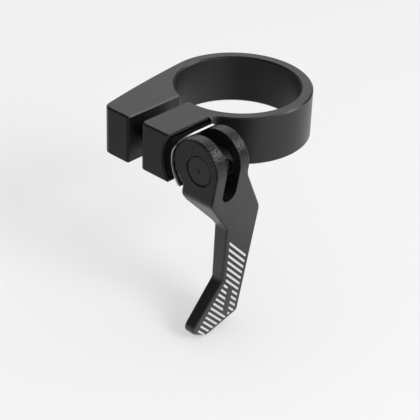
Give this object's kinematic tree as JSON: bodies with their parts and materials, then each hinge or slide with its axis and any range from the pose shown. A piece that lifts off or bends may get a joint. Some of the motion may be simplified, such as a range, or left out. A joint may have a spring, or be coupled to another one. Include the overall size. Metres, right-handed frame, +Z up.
{
  "type": "quick-release seatpost clamp",
  "caption": "Split ring collar with ears drawn together by a bolt and a forked cam lever with an offset striped blade, to clamp a seatpost in a bicycle's seat tube.",
  "frame": {"origin": "on the bore axis at the collar's mid height", "axes": "+Z up along the bore, +X from the bore towards the ends of the ears, +Y from the bolt-head ear to the lever ear; lever closed and hanging down"},
  "size_m": [0.0568, 0.0455, 0.0656],
  "materials": {
    "collar": "bead-blasted, black anodised",
    "cam_saddle": "moulded black nylon",
    "wear_strip": "bright rolled stainless sheet",
    "clamp_bolt": "black oxide",
    "barrel_nut": "turned, black oxide",
    "lever": "forged, bead-blasted, black anodised, white printed stripes"
  },
  "bodies": {
    "collar": {"collar": "collar", "cam_saddle": "cam_saddle", "wear_strip": "wear_strip"},
    "bolt": {"clamp_bolt": "clamp_bolt"},
    "barrel": {"barrel_nut": "barrel_nut"},
    "lever": {"lever": "lever"}
  },
  "joints": [
    {"name": "barrel_travel", "type": "slide", "parent": "collar", "child": "barrel", "axis": [0, 1, 0], "range_m": [0, 0.0024]},
    {"name": "bolt_turn", "type": "hinge", "parent": "collar", "child": "bolt", "pos_m": [0.028, 0, 0], "axis": [0, -1, 0], "range_deg": [0, 1081]},
    {"name": "lever_pivot", "type": "hinge", "parent": "barrel", "child": "lever", "pos_m": [0.028, 0.0182, 0], "axis": [1, 0, 0], "range_deg": [0, 150]}
  ],
  "couplings": [
    {"joint": "bolt_turn", "follows": "barrel_travel", "rad_per_m": 7854}
  ]
}
